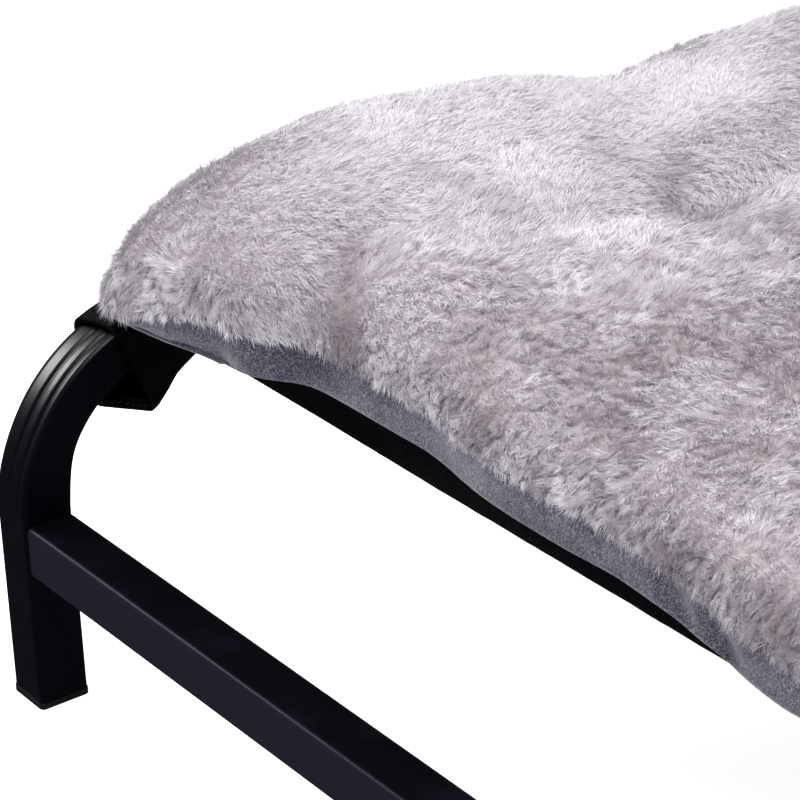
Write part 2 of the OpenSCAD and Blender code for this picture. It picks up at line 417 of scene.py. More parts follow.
def plush_backing():
    """The knitted ground of the plush with the roots of the pile: what shows between the tufts."""
    p = Paint("plush_ground", Specular_IOR_Level=0.1, Sheen_Weight=0.3)
    tufts = p.cloud(p.place(), 0.0016, 3.0, 0.6)
    locks = p.cloud(p.place(), 0.007, 3.0)
    tone = p.combine(p.span(tufts, -0.3, 0.3), p.span(locks, 0.1, 0.9))
    p.set(Base_Color=p.ramp(tone, (0.0, "#9c9095"), (0.5, "#c0b5ba"), (1.0, "#dcd4d8")),
          Roughness=p.span(tufts, 0.8, 1.0),
          Normal=p.bump(tufts, 0.0012, 1.0, p.bump(locks, 0.0015)))
    return p.material


def pile_yarn(name, colour):
    """One shade of the pile's hairs. Each hair is a single shade, so its colour is the shader's own."""
    p = Paint(name, Base_Color=rgb(colour), Specular_IOR_Level=0.25, Sheen_Weight=0.25)
    p.set(Roughness=p.span(p.cloud(p.place(), 0.004), 0.5, 0.8))
    return p.material


def fibre():
    """White polyester wadding."""
    p = Paint("fibre_white_wadding", Specular_IOR_Level=0.1, Sheen_Weight=0.4)
    strands = p.cloud(p.stretched(p.place(), (1.0, 3.0, 5.0)), 0.004, 5.0, 0.7)
    p.set(Base_Color=p.ramp(strands, (0.2, "#d9d9d4"), (0.8, "#f6f6f2")),
          Roughness=p.span(strands, 0.85, 1.0),
          Normal=p.bump(strands, 0.002))
    return p.material


PAINT_BLACK = powder_coat("frame_black_paint", "#010107", "#04040d", "#12121c", shine=0.30, painted_wall_light=0.0)
# the stretchers' black paint, with painted light greying their front and back walls
BAR_BLACK_PAINTED_WALL_LIGHT = powder_coat("bar_black_painted_wall_light", "#040409", "#06060c", "#1d1b26", shine=0.04, painted_wall_light=0.6)
CAP_BLACK = moulded_cap()
ZINC = plated_steel()
MESH_CLOTH = woven("sling_mesh_cloth", "#030309", "#10101a", pitch=0.0019, depth=0.0005,
                   roughness=0.62, gap=0.25)
PANEL_CLOTH = woven("sling_panel_cloth", "#141419", "#44444e", pitch=0.0019, depth=0.0005,
                    roughness=0.62, gap=0.35)
SLEEVE_CLOTH = woven("sleeve_oxford_cloth", "#020206", "#08080d", pitch=0.0009, depth=0.00022,
                     roughness=0.66, gap=0.0)
THREAD_BLACK = sewing_thread()
SUEDE = suede()
PLUSH_GROUND = plush_backing()
FIBRE = fibre()


def refinish(material, *nodes):
    """Gives CAD nodes whose shape is right a better material."""
    for name in nodes:
        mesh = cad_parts[name].data
        mesh.materials.clear()
        mesh.materials.append(material)


refinish(PAINT_BLACK, "side_rail_front", "side_rail_back", "rail_spigots")
refinish(BAR_BLACK_PAINTED_WALL_LIGHT, "stretcher_front", "stretcher_back")
refinish(CAP_BLACK, *["foot_cap_%s_%s" % (y, x) for y in ("front", "back") for x in ("left", "right")])
refinish(ZINC, "stretcher_end_nuts", "stretcher_bolts", "stretcher_washers")


# ---- bent end frames

BEND_RINGS = 56
LEG_RINGS = 7
BAR_RINGS = 12
SQUEEZE_GROWS = (0.06, 0.36)     # where round the bend the tube's squeeze grows and where it ends
SQUEEZE_ENDS = (0.84, 1.0)


def tube_path():
    """Points down the middle of the tube, from foot to foot, each with its outward direction
    and how far the tube is squeezed there, from 0 to 1."""
    middle_r = BEND_R - TUBE / 2
    leg = WIDTH_Y / 2 - TUBE / 2
    rows = []
    for z in np.linspace(LEG_FOOT, BEND_Z, LEG_RINGS, endpoint=False):
        rows.append((-leg, z, -1.0, 0.0, 0.0))
    for turn in np.linspace(0.0, 1.0, BEND_RINGS):
        angle = turn * math.pi / 2
        squeeze = smooth(*SQUEEZE_GROWS, turn) * (1 - smooth(*SQUEEZE_ENDS, turn))
        rows.append((-BEND_Y - middle_r * math.cos(angle), BEND_Z + middle_r * math.sin(angle),
                     -math.cos(angle), math.sin(angle), squeeze))
    bar = np.linspace(-BEND_Y, 0.0, BAR_RINGS)[1:]
    rows += [(y, FRAME_TOP - TUBE / 2, 0.0, 1.0, 0.0) for y in bar]
    mirrored = [(-y, z, -ny, nz, squeeze) for y, z, ny, nz, squeeze in rows[-2::-1]]
    return np.array(rows + mirrored)


# the grooves that a bending die leaves on a bend's outer side: depth, place across and width
GROOVES = ((0.0010, -0.0007, 0.0011), (0.0011, 0.0070, 0.0012), (0.0008, -0.0108, 0.0012))
OUTSIDE_SINK = 0.0008     # how far the outer side sinks between them
SQUEEZE_DEPTH = 0.07      # how much shallower and narrower the squeeze makes the tube
SQUEEZE_WIDTH = 0.12
OUTLINE_COUNTS = (33, 7, 7, 7)     # points on the tube's sides, most of them on the outer one


def tube_skin(x_middle, inset):
    """Rings of points along the tube, squeezed in its bends as a bending die leaves it."""
    path = tube_path()
    half = TUBE / 2
    outline = rounded_square(half - inset, max(SECTION_R - inset, 0.0008), OUTLINE_COUNTS, 4)
    across, outward = outline[:, 0], outline[:, 1]
    y_path, z_path, y_out, z_out, squeeze = path.T[:, :, None]
    grooves = sum(depth * bell(across, place, width) for depth, place, width in GROOVES)
    on_outside = smooth(0.75, 0.97, outward / half)
    sunk = squeeze * on_outside * (OUTSIDE_SINK + grooves)
    out = half - (half - outward) * (1 - SQUEEZE_DEPTH * squeeze) - sunk
    side = across * (1 - SQUEEZE_WIDTH * squeeze * smooth(-1.0, 0.6, -outward / half + 0.2))
    y = y_path + y_out * out
    z = z_path + z_out * out
    x = np.broadcast_to(x_middle + side, y.shape)
    return np.stack([x, y, z], -1)


def end_frame(side, box):
    """One end: two legs and a top bar bent from one length of tube."""
    x_middle = (box[0].x + box[1].x) / 2
    outer = tube_skin(x_middle, 0.0)
    inner = tube_skin(x_middle, TUBE_WALL)
    rings, columns = outer.shape[:2]
    to_bore = rings * columns
    skin = grid_faces(rings, columns, closed_columns=True)
    first = np.arange(columns)
    last = first + to_bore - columns
    rims = [skirt(first, first + to_bore), skirt(last, last + to_bore)[:, ::-1]]
    faces = np.concatenate([skin, skin[:, ::-1] + to_bore, *rims])
    piece = make("bent_tube_%s" % side, [outer, inner], faces[:, ::-1], PAINT_BLACK, "frame",
                 "frame_black", "end_frame_%s" % side)
    piece.modifiers.new("even_normals", "WEIGHTED_NORMAL")     # flat faces look flat beside the corners
    return piece


END_FRAMES = {"left": end_frame("left", LEFT), "right": end_frame("right", RIGHT)}


# ---- sling: shared shapes

SLEEVE_HALF = (SLEEVE_FRONT[1].y - SLEEVE_FRONT[0].y) / 2
SLEEVE_R = 0.0038
STITCH_LENGTH = 0.0022
STITCH_PITCH = 0.003
THREAD_R = 0.00022
# what the folds of each sleeve are drawn from
FOLD_SEEDS = {"front": 60, "back": 70, "left": 80, "right": 90}


def sleeve_loop(per_side=13, per_corner=5):
    """A sleeve's section, anticlockwise from the middle of its lower side. Columns: a, b and the
    outward direction."""
    square = rounded_square(SLEEVE_HALF, SLEEVE_R, [per_side] * 4, per_corner)
    return np.roll(square * np.array([1, -1, 1, -1]), -(per_side // 2), axis=0)


SLEEVE_LOOP = sleeve_loop()
ROUND_SLEEVE = line_reach(SLEEVE_LOOP[:, :2])     # how far round the sleeve each of its points is
LOOP_A, LOOP_B, LOOP_NA, LOOP_NB = SLEEVE_LOOP.T


def grid_normals(points):
    """Directions square to a grid of points whose columns close up."""
    down = np.gradient(points, axis=0)
    across = np.roll(points, -1, axis=1) - np.roll(points, 1, axis=1)
    return unit(np.cross(across, down))


def stitch_shape(sides=6):
    """A stitch one long: a plump thread whose two ends dive into the cloth."""
    ring_at = np.array([-0.5, -0.36, 0.0, 0.36, 0.5])
    girth = np.array([0.35, 0.9, 1.0, 0.9, 0.35])
    lift = np.array([-0.9, 0.1, 0.45, 0.1, -0.9])
    turn = np.arange(sides) * 2 * math.pi / sides
    points = [(s, g * math.cos(t), h + g * math.sin(t))
              for s, g, h in zip(ring_at, girth, lift) for t in turn]
    faces = grid_faces(len(ring_at), sides, closed_columns=True).tolist()
    faces.append(list(range(sides)))
    faces.append(list(range((len(ring_at) - 1) * sides, len(ring_at) * sides))[::-1])
    return np.array(points), faces


def sew(name, lines, slot, sides=6):
    """Rows of stitches along lines. A line is a pair: its points, and the cloth's outward direction
    at each."""
    shape, shape_faces = stitch_shape(sides)
    half_pitch = STITCH_PITCH / 2
    points, faces = [], []
    for line, outward in lines:
        reach = line_reach(line)
        for at in np.arange(half_pitch, reach[-1] - half_pitch / 2, STITCH_PITCH):
            behind, middle, ahead = interpolated([at - half_pitch, at, at + half_pitch], reach, line)
            forward = unit(ahead - behind)
            side = unit(np.cross(unit(interpolated(at, reach, outward)), forward))
            axes = np.stack([forward, side, np.cross(forward, side)])
            faces += [[len(points) * len(shape) + i for i in face] for face in shape_faces]
            points.append(middle + (shape * (STITCH_LENGTH, THREAD_R, THREAD_R)) @ axes)
    return make(name, np.concatenate(points), faces, THREAD_BLACK, "frame", slot)


# ---- sling: mesh panel

PANEL_ROWS = 67
PANEL_COLUMNS = 131
PANEL_PULLS = 0.0004      # depth of the lines that the panel's pull draws in it
SEAM_ROWS = (0.0035, PANEL_LAP - 0.0025)     # two rows of stitches, in from the panel's edge


def sling_panel():
    """The stretched mesh, a little slack in its middle."""
    low, high = PANEL
    y, x = np.meshgrid(np.linspace(low.y, high.y, PANEL_ROWS), np.linspace(low.x, high.x, PANEL_COLUMNS),
                       indexing="ij")
    in_x = np.sin(math.pi * (x - low.x) / (high.x - low.x))
    in_y = np.sin(math.pi * (y - low.y) / (high.y - low.y))
    held = np.clip(in_x * 9, 0, 1) * np.clip(in_y * 5, 0, 1)
    pulls = PANEL_PULLS * layered(x, y * 0.35, 0.05, 41) * held
    z = high.z - PANEL_SAG * in_x * in_y - np.abs(pulls)
    piece = make("sling_mesh", np.stack([x, y, z], -1), grid_faces(*x.shape), PANEL_CLOTH, "frame",
                 "mesh_black", "sling_panel")
    lay_cloth(piece, x, y)
    thicken(piece, PANEL_T)
    return piece


def panel_seams():
    """Two rows of stitches where the panel laps each sleeve."""
    low, high = PANEL
    lines = []
    for inset in SEAM_ROWS:
        corners = [(low.x + inset, low.y + inset), (high.x - inset, low.y + inset),
                   (high.x - inset, high.y - inset), (low.x + inset, high.y - inset)]
        for start, end in zip(corners, corners[1:] + corners[:1]):
            ends = np.array([(*start, high.z), (*end, high.z)])
            lines.append((ends, np.array([(0, 0, 1.0), (0, 0, 1.0)])))
    return sew("sling_seam_stitches", lines, "mesh_black", sides=4)


# ---- sling: side sleeves

SIDE_SLEEVE_ROWS = 190
SIDE_FOLDS = 0.0004           # height of the folds under a side sleeve
SLACK = 0.0008                # how far a sleeve hangs off its tube


def side_sleeve(side):
    """The mesh wrapped round a side rail, slack underneath."""
    low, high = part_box("sling_sleeve_%s" % side)
    outward = -1 if side == "front" else 1
    x, r = np.meshgrid(np.linspace(low.x, high.x, SIDE_SLEEVE_ROWS), ROUND_SLEEVE, indexing="ij")
    under = smooth(0.2, -1.0, LOOP_B / SLEEVE_HALF)
    folds = np.abs(layered(x + 0.6 * r, r, 0.022, FOLD_SEEDS[side])) * SIDE_FOLDS
    slack = SLACK + SLACK / 2 * layered(x, 0.0, 0.13, FOLD_SEEDS[side] + 3)
    out = under * (folds + np.abs(slack) * smooth(-0.6, -1.0, LOOP_NB))
    y = (low.y + high.y) / 2 + outward * (LOOP_A + LOOP_NA * out)
    z = (low.z + high.z) / 2 + LOOP_B + LOOP_NB * out
    faces = grid_faces(*x.shape, closed_columns=True)
    piece = make("mesh_sleeve_%s" % side, np.stack([x, y, z], -1), faces[:, ::outward],
                 MESH_CLOTH, "frame", "mesh_black", "sling_sleeve_%s" % side)
    lay_cloth(piece, x, r)
    thicken(piece, CLOTH_T)
    return piece


# ---- sling: end sleeves and their cuffs

WRAP = 0.0014                 # from the tube's face to the cloth's outer face
CUFF_TOP = (0.0505, 0.097)     # where the cuff's top starts and ends, from the leg's outer face
# the cuff's two lower edges, from its mouth to the bar: distance from the leg's outer face, height
INNER_EDGE = [(0.0712, 0.1302), (0.0740, 0.1322), (0.0766, 0.1350), (0.0806, 0.1410),
              (0.0842, 0.1450), (0.0936, 0.1510), (0.0970, 0.1536)]
OUTER_EDGE = [(0.0535, 0.1290), (0.0690, 0.1330), (0.0840, 0.1440), (0.0970, 0.1536)]
MOUTH_SLANT = 0.005           # how much nearer the leg the mouth starts on its outer side
CUFF_ROWS = 30
MIDDLE_ROWS = 70
HEM_SHARE = 0.15              # how much of a cuff its hem takes up
HEM_ROWS = 7
SEWN_ROWS = (1, 2, 4, 5)      # the hem's rows that stitches follow
BACK_CUFF = 9                 # what a sleeve's seed goes up by for its back cuff, and for its middle
SLEEVE_MIDDLE = 4
CUFF_ARCH = 0.0018            # how far a cuff's mouth rises off the bend, bellies out at its sides,
CUFF_BELLY = 0.0022           # and is folded and crumpled
CUFF_FOLDS = 0.0011
CUFF_CRUMPLE = 0.0008


def bend_height(y_in):
    """Height of the tube's top over the floor at a distance from the leg's outer face."""
    short = np.clip(BEND_R - y_in, 0, BEND_R)
    return BEND_Z + np.sqrt(BEND_R ** 2 - short ** 2)


def cuff_skin(shares, inner_sign, seed):
    """Rows of a cuff's cloth: across the bar, in from the leg's outer face, and up."""
    t = shares[:, None]
    to_inner = (inner_sign * LOOP_A / SLEEVE_HALF + 1) / 2
    top_y = lerp(CUFF_TOP[0] + MOUTH_SLANT * (to_inner - 0.5), CUFF_TOP[1], t)
    top_z = bend_height(top_y) + WRAP + CUFF_ARCH * (1 - t) ** 2 * (1 - (LOOP_A / SLEEVE_HALF) ** 2)
    inner = along(INNER_EDGE, shares)[:, None, :]
    outer = along(OUTER_EDGE, shares)[:, None, :]
    low = lerp(outer, inner, to_inner[:, None])
    up = (LOOP_B / SLEEVE_HALF + 1) / 2
    belly = np.sin(math.pi * np.clip(up, 0, 1)) * (1 - up)
    folds = layered(t * 0.05 + up * 0.02, ROUND_SLEEVE + t * 0.012, 0.009, seed)
    loose = (1 - t) ** 0.7 * smooth(1.0, 0.45, up)
    out = loose * (CUFF_BELLY * belly + CUFF_FOLDS * folds)
    x = LOOP_A + LOOP_NA * out
    y = lerp(low[..., 0], top_y, up)
    z = lerp(low[..., 1], top_z, up) + LOOP_NB * out * 0.8 + CUFF_CRUMPLE * loose * folds
    return x, y, z


def cuff(shares, side, end):
    """Rows of a cuff's cloth in their place on the bed, from its mouth on."""
    low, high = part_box("sling_sleeve_%s" % side)
    inner_sign = 1 if side == "left" else -1
    facing = 1 if end == "front" else -1
    seed = FOLD_SEEDS[side] + (BACK_CUFF if end == "back" else 0)
    x, y, z = cuff_skin(shares, inner_sign, seed)
    return np.stack([x + (low.x + high.x) / 2, facing * (y - WIDTH_Y / 2), z], -1)


def end_sleeve(side):
    """Sewn cloth round a top bar, loose where its cuffs open over the bends."""
    low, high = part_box("sling_sleeve_%s" % side)
    shares = np.linspace(0, 1, CUFF_ROWS, endpoint=False)
    reach = WIDTH_Y / 2 - CUFF_TOP[1]
    y, r = np.meshgrid(np.linspace(-reach, reach, MIDDLE_ROWS), ROUND_SLEEVE, indexing="ij")
    folds = np.abs(layered(y + 0.5 * r, r, 0.02, FOLD_SEEDS[side] + SLEEVE_MIDDLE))
    under = smooth(0.3, -1.0, LOOP_B / SLEEVE_HALF) * smooth(0, 0.03, reach - np.abs(y))
    out = SLACK * under * (folds + smooth(-0.6, -1.0, LOOP_NB))
    x = (low.x + high.x) / 2 + LOOP_A + LOOP_NA * out
    z = FRAME_TOP - TUBE / 2 + LOOP_B + LOOP_NB * out
    middle = np.stack([x, y, z], -1)
    points = np.concatenate([cuff(shares, side, "front"), middle, cuff(shares, side, "back")[::-1]])
    faces = grid_faces(*points.shape[:2], closed_columns=True)
    piece = make("cloth_sleeve_%s" % side, points, faces, SLEEVE_CLOTH, "frame", "sleeve_black",
                 "sling_sleeve_%s" % side)
    lay_cloth(piece, points[..., 1], ROUND_SLEEVE)
    thicken(piece, CLOTH_T)
    return piece


def cuff_hem(side, end):
    """The doubled edge of a cuff, folded over its mouth, with its rows of stitches."""
    skin = cuff(np.linspace(0, HEM_SHARE, HEM_ROWS), side, end)
    outward = grid_normals(skin)
    if ((skin - skin.mean(1, keepdims=True)) * outward).sum() < 0:
        outward = -outward
    rounded = np.sqrt(np.clip(1 - (np.linspace(-1, 1, HEM_ROWS) ** 6), 0, 1))[:, None, None]
    outer = skin + outward * (HEM_T * rounded)
    inner = skin - outward * (CLOTH_T + HEM_T * rounded)
    ring = np.concatenate([outer, inner[::-1]])
    faces = grid_faces(*ring.shape[:2], closed_rows=True, closed_columns=True)
    piece = make("hem_%s_%s" % (end, side), ring, faces, SLEEVE_CLOTH, "frame", "sleeve_black",
                 "cuff_hem_%s_%s" % (end, side))
    lay_cloth(piece, ring[..., 1], ROUND_SLEEVE)
    closed = np.append(np.arange(len(SLEEVE_LOOP)), 0)
    lines = []
    for row in SEWN_ROWS:
        lines.append((outer[row][closed], outward[row][closed]))
        lines.append((inner[row][closed], -outward[row][closed]))
    sewn = sew("hem_stitches_%s_%s" % (end, side), lines, "sleeve_black")
    return piece, sewn


SLING = sling_panel()
SLING_SEAMS = panel_seams()
SIDE_SLEEVES = [side_sleeve("front"), side_sleeve("back")]
END_SLEEVES = {side: end_sleeve(side) for side in ("left", "right")}
HEMS = {(side, end): cuff_hem(side, end) for side in ("left", "right") for end in ("front", "back")}


# ---- mat: shape

MAT_LEFT, MAT_RIGHT = MAT_BASE[0].x, MAT_BASE[1].x
MAT_LENGTH = MAT_RIGHT - MAT_LEFT
MAT_WIDTH = MAT_BASE[1].y - MAT_BASE[0].y
BAND_LOW = 0.006          # height of the suede band at the mat's corners, and elsewhere
BAND_HIGH = 0.0205
BAND_BULGE = 0.0022       # how far the band swells out half way down, and is drawn in at its base
BAND_DRAWN_IN = 0.0015
CORNER_DROOP = 0.0032     # how far the mat's corners sink over the bends
PILLOWING = 0.009         # height of the lumps in the mat's far parts
UNDER_Z = MAT_BASE[0].z
CROWN_Z = 0.2265          # the plush's ground at rest; the pile stands above it
EDGE_STEPS = 9            # grid steps where an edge turns down, and the size of those between
GRID_STEP = 0.0085
BAND_ROWS = 4


def from_corner(x, y):
    """Distances from the near left leg's inner face and from the frame's front."""
    return x - LEFT[1].x, y + WIDTH_Y / 2


def from_ends(x, y):
    """Distances from the nearer legs' inner faces and from the frame's nearer long side."""
    return RIGHT[0].x - np.abs(x), WIDTH_Y / 2 - np.abs(y)


# where the mat's front edge steps back, or forward below 0: how far, from where and to where
FRONT_STEPS = ((0.0135, 0.085, 0.122), (-0.0035, 0.060, 0.110), (-0.0085, 0.188, 0.250),
               (-0.014, 0.340, 0.440), (0.018, 0.46, 0.62), (-0.018, 0.82, 0.98))


def front_edge(x):
    """The mat's front edge. It creeps forward at its corners and wanders between them."""
    u = x - LEFT[1].x
    edge = 0.0545 + 0.115 * np.clip(u + 0.005, 0, 0.115) + 0.0030 * bell(u, 0.318, 0.020)
    edge = edge + sum(step * smooth(start, end, u) for step, start, end in FRONT_STEPS)
    return edge - WIDTH_Y / 2 + 0.003 * noise(x, 0.0, 0.11, 5) * smooth(0.48, 0.60, u)


def back_edge(x):
    """The mat's back edge, a little further back at its corners."""
    corners = smooth(0.36, 0.50, np.abs(x))
    return MAT_BASE[1].y + 0.005 * noise(x, 0.3, 0.15, 7) + 0.010 * corners


def side_edge(y, x_edge, seed):
    """An end of the mat, straight at its front and wandering further back."""
    away = smooth(-0.24, -0.10, y)
    return x_edge - 0.004 * np.sign(x_edge) * (0.5 + 0.5 * noise(y, 0.7, 0.13, seed)) * away


def ridge(u, v, points, width):
    """1 along a line of points, falling away to its sides."""
    best = np.full(np.shape(u), np.inf)
    for (u0, v0), (u1, v1) in zip(points, points[1:]):
        du, dv = u1 - u0, v1 - v0
        t = np.clip(((u - u0) * du + (v - v0) * dv) / (du * du + dv * dv), 0, 1)
        best = np.minimum(best, np.hypot(u - u0 - t * du, v - v0 - t * dv))
    return bell(best, 0, width)


def mound(u, v, middle, radii):
    """1 at its middle, falling away all round."""
    return np.exp(-((u - middle[0]) / radii[0]) ** 2 - ((v - middle[1]) / radii[1]) ** 2)


def relief(u, v, mounds, ridges):
    """What mounds and ridges add up to, from how high each is and where it lies."""
    raised = sum(height * mound(u, v, middle, radii) for height, middle, radii in mounds)
    return raised + sum(height * ridge(u, v, line, width) for height, width, line in ridges)


# the lumps and hollows in the near left of the mat: height, middle and radii
LUMPS = ((0.016, (0.070, 0.150), (0.100, 0.130)), (0.010, (0.020, 0.240), (0.080, 0.080)),
         (0.009, (0.000, 0.165), (0.050, 0.055)), (0.006, (0.238, 0.181), (0.040, 0.035)),
         (-0.005, (0.269, 0.118), (0.035, 0.030)))
# its folds and creases there: height, width and the line that each follows
FOLDS = ((0.010, 0.022, ((0.167, 0.138), (0.174, 0.165), (0.190, 0.228), (0.189, 0.284))),
         (-0.010, 0.018, ((0.150, 0.150), (0.153, 0.225), (0.158, 0.300))),
         (-0.010, 0.030, ((0.010, 0.335), (0.090, 0.285), (0.165, 0.240))),
         (-0.007, 0.014, ((0.100, 0.112), (0.134, 0.089), (0.162, 0.075), (0.171, 0.072))),
         (-0.006, 0.014, ((0.122, 0.145), (0.143, 0.150))))


def crown(x, y):
    """Height of the mat's top away from its edges: an unevenly filled pad that has been handled."""
    u, v = from_corner(x, y)
    z = CROWN_Z + relief(u, v, LUMPS, FOLDS)
    elsewhere = smooth(0.26, 0.42, np.hypot(u, np.maximum(v - 0.15, 0)))
    lumps = PILLOWING * layered(x, y, 0.17, 21) + PILLOWING / 3
    return z + elsewhere * lumps + 0.0012 * layered(x, y, 0.045, 23)


def quarter(e):
    """A rounded edge's height at a distance in from it, from 0 to 1."""
    near = np.clip(1 - e / EDGE_RISE, 0, 1)
    return np.sqrt(1 - near * near)


def droop(x, y):
    """How far a corner of the mat sinks over the bend under it."""
    u, v = from_ends(x, y)
    return CORNER_DROOP * smooth(0.078, 0.050, v) * smooth(0.080, 0.010, u)


def band_height(x, y):
    """Height of the suede band, which narrows to the mat's corners."""
    u, v = from_ends(x, y)
    away = np.maximum(smooth(-0.025, 0.075, u), smooth(0.085, 0.190, v))
    waves = 0.0016 * layered(x + 0.7 * y, 0.4 * y, 0.085, 37)
    return lerp(BAND_LOW, BAND_HIGH, away) + waves * away


# the band's creases: where each starts at the seam and ends at the base, and how deep it is
CREASES = ((0.347, 0.369, 0.0070), (0.373, 0.397, 0.0076))
CREASE_WIDTH = 0.0065


def band_creases(rim_points, t):
    """How far the front of the band is tucked in: slanting creases where it has slumped."""
    u, v = from_corner(rim_points[:, 0], rim_points[:, 1])
    deep = sum(depth * bell(u, lerp(seam, base, t), CREASE_WIDTH) for seam, base, depth in CREASES)
    return deep * math.sin(math.pi * t) ** 0.5 * smooth(0.130, 0.100, v)


def marks(length):
    """Places across the mat, close together where its edge turns down."""
    step_in = EDGE_RISE * (1 - np.cos(np.linspace(0, math.pi / 2, EDGE_STEPS)))
    count = int(round((length - 2 * EDGE_RISE) / GRID_STEP))
    middle = np.linspace(EDGE_RISE, length - EDGE_RISE, count + 1)
    return np.concatenate([step_in, middle[1:-1], length - step_in[::-1]])


def rounded_plan(across, deep):
    """Draws the corners of a rectangle of points in to their radius."""
    a = 1 - np.minimum(across, MAT_LENGTH - across) / CORNER_R
    b = 1 - np.minimum(deep, MAT_WIDTH - deep) / CORNER_R
    in_corner = (a > 0) & (b > 0)
    a, b = np.where(in_corner, a, 0), np.where(in_corner, b, 0)
    shrink = np.where(in_corner, np.maximum(a, b) / np.maximum(np.hypot(a, b), 1e-9), 1)
    inward_x = np.sign(MAT_LENGTH / 2 - across) * CORNER_R * a * (1 - shrink)
    inward_y = np.sign(MAT_WIDTH / 2 - deep) * CORNER_R * b * (1 - shrink)
    return across + inward_x, deep + inward_y


def mat_plan():
    """The mat's grid seen from above, with each point's distances in from the nearest edges."""
    deep, across = np.meshgrid(marks(MAT_WIDTH), marks(MAT_LENGTH), indexing="ij")
    edge_x = np.minimum(across, MAT_LENGTH - across)
    edge_y = np.minimum(deep, MAT_WIDTH - deep)
    round_across, round_deep = rounded_plan(across, deep)
    share_x, share_y = round_across / MAT_LENGTH, round_deep / MAT_WIDTH
    rough_x = MAT_LEFT + round_across
    y = lerp(front_edge(rough_x), back_edge(rough_x), share_y)
    x = lerp(side_edge(y, MAT_LEFT, 31), side_edge(y, MAT_RIGHT, 33), share_x)
    return x, y, edge_x, edge_y


def rim_order(rows, columns):
    """The grid's outer points, in order round it."""
    front = [(0, c) for c in range(columns)]
    right = [(r, columns - 1) for r in range(1, rows)]
    back = [(rows - 1, c) for c in range(columns - 2, -1, -1)]
    left = [(r, 0) for r in range(rows - 2, 0, -1)]
    return np.array([r * columns + c for r, c in front + right + back + left])


def mat_shell():
    """The mat's outer skin before it is stuffed: the top's grid, then the band's rows under its rim."""
    x, y, edge_x, edge_y = mat_plan()
    rows, columns = x.shape
    sunk = droop(x, y)
    seam = UNDER_Z - sunk + band_height(x, y)
    top = crown(x, y) - 0.6 * sunk
    z = lerp(seam, top, quarter(edge_x) * quarter(edge_y))
    grid = np.stack([x, y, z], -1).reshape(-1, 3)
    rim = rim_order(rows, columns)
    rim_points = grid[rim]
    step = rim_points - np.roll(rim_points, 1, 0)
    outward = unit(np.stack([step[:, 1], -step[:, 0], 0 * step[:, 0]], -1))
    reach = np.cumsum(np.linalg.norm(step, axis=1))
    low = UNDER_Z - droop(rim_points[:, 0], rim_points[:, 1])
    bands = []
    for k in range(1, BAND_ROWS + 1):
        t = k / BAND_ROWS
        bulge = BAND_BULGE * math.sin(math.pi * t) - BAND_DRAWN_IN * t
        wander = 0.0030 * layered(reach, 0.0, 0.09, 51) * t + 0.0012 * layered(reach, t, 0.03, 52) * t
        tuck = band_creases(rim_points, t)
        band = rim_points + outward * (bulge + wander - tuck)[:, None]
        band[:, 2] = lerp(rim_points[:, 2], low, t)
        bands.append(band)
    return np.concatenate([grid] + bands), rows, columns, rim


STUFFING_STEPS = 18


def stuffed(points, faces, held):
    """The skin swollen by its filling: a cloth simulation that starts from the shape as cut."""
    body = linked("stuffing", mesh_of("stuffing", points, faces))
    pins = body.vertex_groups.new(name="pins")
    for index in held:
        pins.add([int(index)], 1.0, "REPLACE")
    cloth = body.modifiers.new("cloth", "CLOTH")
    configured(cloth.settings, quality=6, mass=0.25, tension_stiffness=12, compression_stiffness=12,
               shear_stiffness=4, bending_stiffness=0.6, use_pressure=True, uniform_pressure_force=1.6,
               shrink_min=-0.025, vertex_group_mass="pins")
    cloth.settings.effector_weights.gravity = 0.0
    cloth.collision_settings.use_collision = False
    configured(cloth.point_cache, frame_start=1, frame_end=STUFFING_STEPS)
    scene = bpy.context.scene
    for step in range(1, STUFFING_STEPS + 1):
        scene.frame_set(step)
    shown = body.evaluated_get(bpy.context.evaluated_depsgraph_get())
    moved = np.zeros(len(points) * 3, np.float32)
    shown.data.vertices.foreach_get("co", moved)
    scene.frame_set(1)
    bpy.data.objects.remove(body)
    return moved.reshape(-1, 3).astype(float)


SWELL_CAP = 0.003         # how far the filling may push the skin out
SEAM_TURN = 0.004         # how much of the plush is turned in at the seam


def capped(before, after, most):
    """The simulated points, moved no further than most from where they began."""
    move = after - before
    far = np.linalg.norm(move, axis=1, keepdims=True)
    return before + move * np.minimum(1, most / np.maximum(far, 1e-9))


def mat_faces(rows, columns, rim):
    """The top's quads, then the band's."""
    top = grid_faces(rows, columns)
    levels = [rim] + [rows * columns + k * len(rim) + np.arange(len(rim)) for k in range(BAND_ROWS)]
    band = [skirt(upper, lower) for upper, lower in zip(levels, levels[1:])]
    return top, np.concatenate(band), levels


SHELL, ROWS, COLUMNS, RIM = mat_shell()
TOP_FACES, BAND_FACES, LEVELS = mat_faces(ROWS, COLUMNS, RIM)
SWOLLEN = stuffed(SHELL, np.concatenate([TOP_FACES, BAND_FACES]), LEVELS[-1])
SHELL = capped(SHELL, SWOLLEN, SWELL_CAP)


# ---- mat: pieces

def mat_plush():
    """The plush top's knitted ground, turned in at its seam."""
    count = ROWS * COLUMNS
    rim = SHELL[RIM]
    middle = np.array([SHELL[:count, 0].mean(), SHELL[:count, 1].mean(), 0])
    inward = unit(middle - rim) * np.array([1, 1, 0])
    points = np.concatenate([SHELL[:count], rim + inward * SEAM_TURN])
    seam = skirt(RIM, count + np.arange(len(RIM)))
    piece = make("plush_top", points, np.concatenate([TOP_FACES, seam]), PLUSH_GROUND, "mat",
                 "plush_grey", "mat_top")
    finer(piece)
    thicken(piece, PLUSH_T)
    return piece


